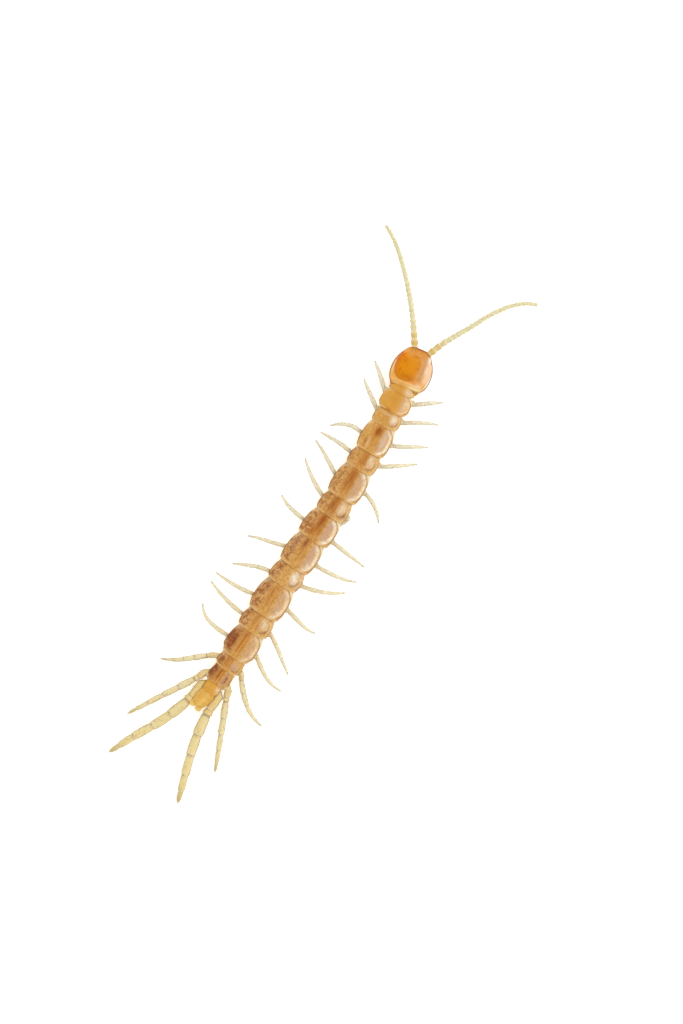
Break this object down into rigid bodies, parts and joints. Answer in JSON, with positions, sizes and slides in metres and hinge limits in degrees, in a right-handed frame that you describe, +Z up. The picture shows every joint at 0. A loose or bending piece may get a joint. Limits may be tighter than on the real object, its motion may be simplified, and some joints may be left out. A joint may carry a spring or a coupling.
{
  "type": "lophobius stone centipede",
  "caption": "Life-size model of a small stone centipede standing on its spread legs, with beaded antennae held forward, overlapping back plates and long hind legs trailing behind.",
  "frame": {"origin": "on the floor under the middle of the whole animal, antennae and hind legs included", "axes": "+Z up from the floor through the back, -Y towards the head, +X towards the animal's own left"},
  "size_m": [0.0041, 0.0149, 0.0006],
  "materials": {
    "head_cuticle": "translucent amber-orange cuticle, satin",
    "trunk_cuticle": "translucent amber-brown cuticle over a darker gut, satin",
    "leg_cuticle": "pale translucent straw-yellow cuticle, satin",
    "antenna_cuticle": "straw-yellow cuticle with darker articles, finely haired",
    "poison_claw_cuticle": "amber cuticle with dark brown tips, glossy",
    "eye_lens": "dark glossy lenses"
  },
  "bodies": {
    "root": {"head": "head_cuticle", "mouthparts": "head_cuticle", "eyes_left": "eye_lens", "eyes_right": "eye_lens", "antenna_left": "antenna_cuticle", "antenna_right": "antenna_cuticle", "claw_segment": "head_cuticle", "poison_claw_left": "poison_claw_cuticle", "poison_claw_right": "poison_claw_cuticle", "trunk_segment_01": "trunk_cuticle", "trunk_segment_02": "trunk_cuticle", "trunk_segment_03": "trunk_cuticle", "trunk_segment_04": "trunk_cuticle", "trunk_segment_05": "trunk_cuticle", "trunk_segment_06": "trunk_cuticle", "trunk_segment_07": "trunk_cuticle", "trunk_segment_08": "trunk_cuticle", "trunk_segment_09": "trunk_cuticle", "trunk_segment_10": "trunk_cuticle", "trunk_segment_11": "trunk_cuticle", "trunk_segment_12": "trunk_cuticle", "trunk_segment_13": "trunk_cuticle", "trunk_segment_14": "trunk_cuticle", "trunk_segment_15": "trunk_cuticle", "end_segment": "trunk_cuticle", "leg_left_01": "leg_cuticle", "leg_left_02": "leg_cuticle", "leg_left_03": "leg_cuticle", "leg_left_04": "leg_cuticle", "leg_left_05": "leg_cuticle", "leg_left_06": "leg_cuticle", "leg_left_07": "leg_cuticle", "leg_left_08": "leg_cuticle", "leg_left_09": "leg_cuticle", "leg_left_10": "leg_cuticle", "leg_left_11": "leg_cuticle", "leg_left_12": "leg_cuticle", "leg_left_13": "leg_cuticle", "leg_left_14": "leg_cuticle", "leg_left_15": "leg_cuticle", "leg_right_01": "leg_cuticle", "leg_right_02": "leg_cuticle", "leg_right_03": "leg_cuticle", "leg_right_04": "leg_cuticle", "leg_right_05": "leg_cuticle", "leg_right_06": "leg_cuticle", "leg_right_07": "leg_cuticle", "leg_right_08": "leg_cuticle", "leg_right_09": "leg_cuticle", "leg_right_10": "leg_cuticle", "leg_right_11": "leg_cuticle", "leg_right_12": "leg_cuticle", "leg_right_13": "leg_cuticle", "leg_right_14": "leg_cuticle", "leg_right_15": "leg_cuticle"}
  },
  "joints": []
}
